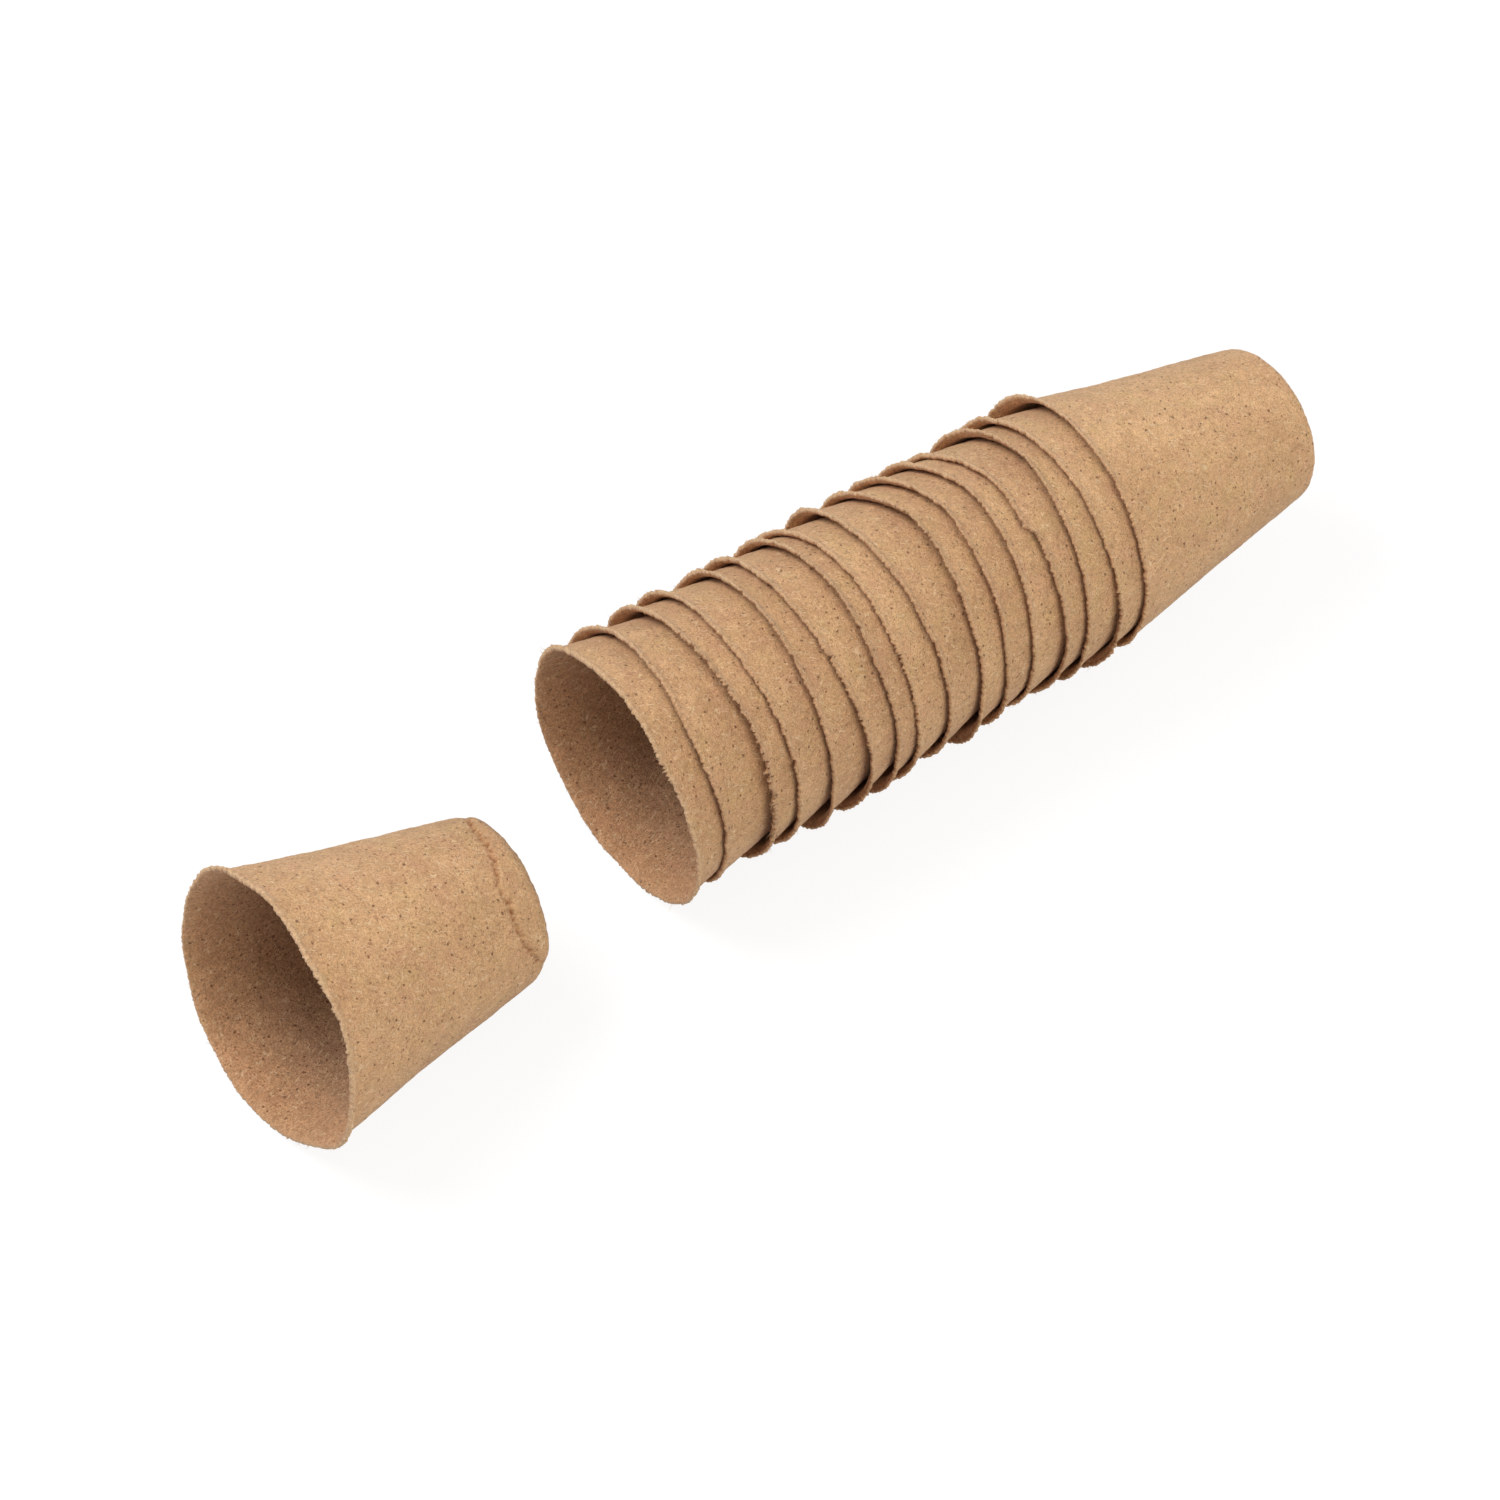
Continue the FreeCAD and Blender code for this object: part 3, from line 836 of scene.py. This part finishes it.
def pulp_material():
    """Dry moulded peat and wood fibre: felted, mottled, with straw fibres and dark specks.
    The attribute inside is 0 outside and grows to 1 deep in a pot, and sets the painted shade
    there."""
    material = bpy.data.materials.new("peat_pulp")
    n = Nodes(material)
    pulp = n.attribute("pulp", "Vector")
    sheet = n.attribute("sheet", "Vector")
    inside = n.attribute("inside")
    tone = n.attribute("tone")
    split = n.add("ShaderNodeSeparateXYZ")
    n.join(sheet, split.inputs[0])
    whole = split.outputs["Z"]

    # Mottling from broad to fine, rougher inside, and inside a browner colour that turns darker
    # and greyer with depth: partly the inner face's own colour, mostly painted shade.
    broad = n.noise(pulp, 0.06, 2.0, 0.5)
    patches = n.noise(pulp, 0.24, 3.0, 0.6)
    tint = n.noise(pulp, 0.13, 2.0, 0.5)
    felt = n.noise(pulp, 1.5, 3.0, 0.62)
    fine = n.noise(pulp, 2.6, 2.0, 0.75)
    colour = n.mix(n.range(broad, 0.35, 0.65), TAN, SAND)
    colour = n.mix(n.range(tint, 0.54, 0.72, 0.0, 0.5), colour, REDDISH)
    colour = n.mix(n.range(tint, 0.46, 0.30, 0.0, 0.5), colour, YELLOWISH)
    shade = n.range(patches, 0.32, 0.68, 0.91, 1.09)
    shade = n.times(shade, n.range(felt, 0.28, 0.72, 0.82, 1.18))
    rough_inside = n.range(inside, 0.0, 1.0, 1.0, 1.5)
    shade = n.math("POWER", shade, rough_inside)
    # Painted shade, darker deep inside a pot.
    shade = n.times(shade, n.range(inside, 0.3, 1.0, 1.0, 0.79))
    lining_and_shade = n.mix(n.range(inside, 0.45, 1.0), LINING_AND_SHADE, DEEP_PAINTED_SHADE)
    colour = n.mix(n.range(inside, 0.0, 0.45, 0.0, 0.45), colour, lining_and_shade)
    colour = n.scaled(colour, n.graded(shade, 1.05, 1.1))
    colour = n.scaled(colour, n.graded(tone, 1.25, 1.3))
    grains = n.math("POWER", n.range(fine, 0.30, 0.70, 0.72, 1.25), rough_inside)
    colour = n.scaled(colour, n.graded(grains, 1.15, 1.4))

    # Dark and pale flakes, pale straws and dark threads, none across a cut of the sheet.
    flakes = n.noise(sheet, 0.9, 2.5, 0.65, 0.9, flat=True)
    flakes = n.times(n.range(flakes, 0.60, 0.70, smooth=True), whole)
    colour = n.mix(n.times(flakes, 0.42), colour, FLAKE)
    pale = n.noise(n.stretched(sheet, 57.0, 1.3, 0.7), 1.0, 2.0, 0.6, 0.6, flat=True)
    pale = n.times(n.range(pale, 0.61, 0.72, smooth=True), whole)
    colour = n.mix(n.times(pale, 0.25), colour, PALE_FLAKE)
    chips = n.spots(n.stretched(sheet, 67.0, 5.5, 0.65), 1.0, 0.2, 0.12, 0.34)
    straws = n.strands(sheet, 31.0, 0.5, 0.042, 0.54)
    straws = n.times(n.math("MAXIMUM", straws, n.times(chips, 0.9)), whole)
    colour = n.mix(n.times(straws, 0.6), colour, STRAW)
    threads = n.times(n.strands(sheet, 57.0, 0.85, 0.06, 0.56), whole)
    colour = n.mix(n.times(threads, 0.68), colour, THREAD)

    # Dark specks, the small ones in crowds and more of them inside.
    wander = n.jittered(sheet, n.noise(pulp, 2.3, 1.0, 0.5, output="Color"), 0.9)
    large_specks = n.spots(wander, 0.27, 0.5, 0.06, 0.15)
    small_specks = n.spots(wander, 0.62, 0.36, 0.10, 0.22)
    bits = n.noise(sheet, 1.7, 2.0, 0.65, 1.2, flat=True)
    bits = n.range(bits, 0.625, 0.71, smooth=True)
    crowd = n.math("ADD", n.range(patches, 0.38, 0.60, 0.3, 1.0), n.times(inside, 0.6))
    small_specks = n.times(n.math("MAXIMUM", small_specks, bits), crowd)
    small_specks = n.times(small_specks, n.range(inside, 0.0, 0.5, 1.0, 1.5))
    specks = n.times(n.math("MAXIMUM", large_specks, n.times(small_specks, 0.55)), whole)
    colour = n.mix(n.times(specks, 0.8), colour, SPECK)

    # Painted shade at the rims and along the loose pot's crease, then pale fuzz on worn rims and
    # hairs, which on the far shoulder is partly a painted highlight.
    painted_shade_share = n.math("MINIMUM", n.times(n.attribute("painted_shade"), 0.62), 0.9)
    colour = n.mix(painted_shade_share, colour, PAINTED_SHADE_BROWN)
    # Pale fuzz on worn rims and hairs: on the far shoulder partly a painted highlight.
    fuzz_and_highlight_share = n.times(n.attribute("fuzz_and_highlight"), n.range(fine, 0.36, 0.56, 0.1, 0.85))
    colour = n.mix(fuzz_and_highlight_share, colour, FUZZ_AND_HIGHLIGHT)

    relief = n.times(felt, 0.6)
    for value, height in ((fine, 0.35), (patches, 0.8), (straws, 0.3)):
        relief = n.math("ADD", relief, n.times(value, height))
    for value, depth in ((specks, 0.25), (flakes, 0.15)):
        relief = n.math("SUBTRACT", relief, n.times(value, depth))
    bump = n.add("ShaderNodeBump")
    bump.inputs["Strength"].default_value = 0.9
    bump.inputs["Distance"].default_value = 0.00022
    n.join(relief, bump.inputs["Height"])

    shader = n.add("ShaderNodeBsdfPrincipled")
    n.join(colour, shader.inputs["Base Color"])
    n.join(n.range(felt, 0.3, 0.7, 0.86, 0.97), shader.inputs["Roughness"])
    n.join(bump.outputs["Normal"], shader.inputs["Normal"])
    shader.inputs["Specular IOR Level"].default_value = 0.22
    shader.inputs["Sheen Weight"].default_value = 0.12
    shader.inputs["Sheen Roughness"].default_value = 0.6
    n.finish("ShaderNodeOutputMaterial", shader.outputs[0])
    return material


def floor_material():
    """White sweep: as white as the background, with the objects' soft shadow kept."""
    material = bpy.data.materials.new("white_sweep")
    n = Nodes(material)
    diffuse = n.add("ShaderNodeBsdfDiffuse")
    diffuse.inputs["Color"].default_value = (0.6, 0.6, 0.6, 1.0)
    glow = n.add("ShaderNodeEmission")
    glow.inputs["Color"].default_value = (1.0, 1.0, 1.0, 1.0)
    glow.inputs["Strength"].default_value = 1.2
    path = n.add("ShaderNodeLightPath")
    mix = n.add("ShaderNodeMixShader")
    n.join(n.times(path.outputs["Is Camera Ray"], 0.72), mix.inputs[0])
    n.join(diffuse.outputs[0], mix.inputs[1])
    n.join(glow.outputs[0], mix.inputs[2])
    n.finish("ShaderNodeOutputMaterial", mix.outputs[0])
    return material


def make_floor():
    mesh = bpy.data.meshes.new("floor")
    mesh.from_pydata([(-6, -6, 0), (6, -6, 0), (6, 6, 0), (-6, 6, 0)], [], [(0, 1, 2, 3)])
    mesh.materials.append(floor_material())
    floor = bpy.data.objects.new("floor", mesh)
    bpy.context.scene.collection.objects.link(floor)


def light_scene():
    """White surroundings and three large soft lights: near side, far side towards the front
    end of the row, and a weak one from its rear end."""
    world = bpy.data.worlds.new("studio")
    n = Nodes(world)
    fill = n.add("ShaderNodeBackground")
    fill.inputs["Color"].default_value = (1.0, 1.0, 1.0, 1.0)
    fill.inputs["Strength"].default_value = 0.34
    seen = n.add("ShaderNodeBackground")
    seen.inputs["Color"].default_value = (1.0, 1.0, 1.0, 1.0)
    seen.inputs["Strength"].default_value = 1.0
    path = n.add("ShaderNodeLightPath")
    mix = n.add("ShaderNodeMixShader")
    n.join(path.outputs["Is Camera Ray"], mix.inputs[0])
    n.join(fill.outputs[0], mix.inputs[1])
    n.join(seen.outputs[0], mix.inputs[2])
    n.finish("ShaderNodeOutputWorld", mix.outputs[0])
    bpy.context.scene.world = world
    soft_light("near_soft", (0.0, -1.16, 0.82), 9.7, (1.0, 0.955, 0.90))
    soft_light("far_soft", (-0.55, 0.68, 1.14), 14.5, (1.0, 0.99, 0.98))
    soft_light("rear_soft", (1.298, 0.0, 0.564), 4.0, (1.0, 0.98, 0.95))


def soft_light(name, at, watts, colour):
    """A round soft box one metre across, turned to the middle of the row."""
    lamp = bpy.data.lights.new(name, "AREA")
    lamp.shape = "DISK"
    lamp.size = 1.0
    lamp.energy = watts
    lamp.color = colour
    light = bpy.data.objects.new(name, lamp)
    bpy.context.scene.collection.objects.link(light)
    back = np.array(at) - np.array((0.0, 0.0, 0.04))
    back /= np.linalg.norm(back)
    right = np.cross((0.0, 0.0, 1.0), back)
    right /= np.linalg.norm(right)
    place_thing(light, at, right, np.cross(back, right), back)


def place_thing(thing, at, right, up, back):
    """Puts a light or the camera somewhere, with its own right, up and back directions."""
    turn = Matrix(np.stack([right, up, back], 1).tolist()).to_4x4()
    thing.matrix_world = Matrix.Translation(tuple(float(value) for value in at)) @ turn


def make_camera():
    """The photograph's viewing angle: azimuth, elevation, roll and distance of the camera."""
    azimuth, elevation, roll = (math.radians(value) for value in (-36.496, 49.304, -0.108))
    target = np.array([-12.093, 2.089, 22.348]) * MM
    distance = 1020.29 * MM
    back = np.array([
        math.sin(azimuth) * math.cos(elevation),
        -math.cos(azimuth) * math.cos(elevation),
        math.sin(elevation),
    ])
    level = np.array([math.cos(azimuth), math.sin(azimuth), 0.0])
    rise = np.cross(back, level)
    right = level * math.cos(roll) + rise * math.sin(roll)
    up = rise * math.cos(roll) - level * math.sin(roll)
    data = bpy.data.cameras.new("camera")
    data.sensor_width = 36.0
    data.lens = 83.725
    data.clip_start = 0.05
    data.clip_end = 20.0
    camera = bpy.data.objects.new("camera", data)
    bpy.context.scene.collection.objects.link(camera)
    place_thing(camera, target + back * distance, right, up, back)
    bpy.context.scene.camera = camera


make_camera()
make_floor()
light_scene()
pulp = pulp_material()
for number, name in enumerate(NEST + ["loose_pot"], start=1):
    make_pot(name, 1000 + 7 * number, pulp)

bpy.context.scene.view_settings.view_transform = "Standard"
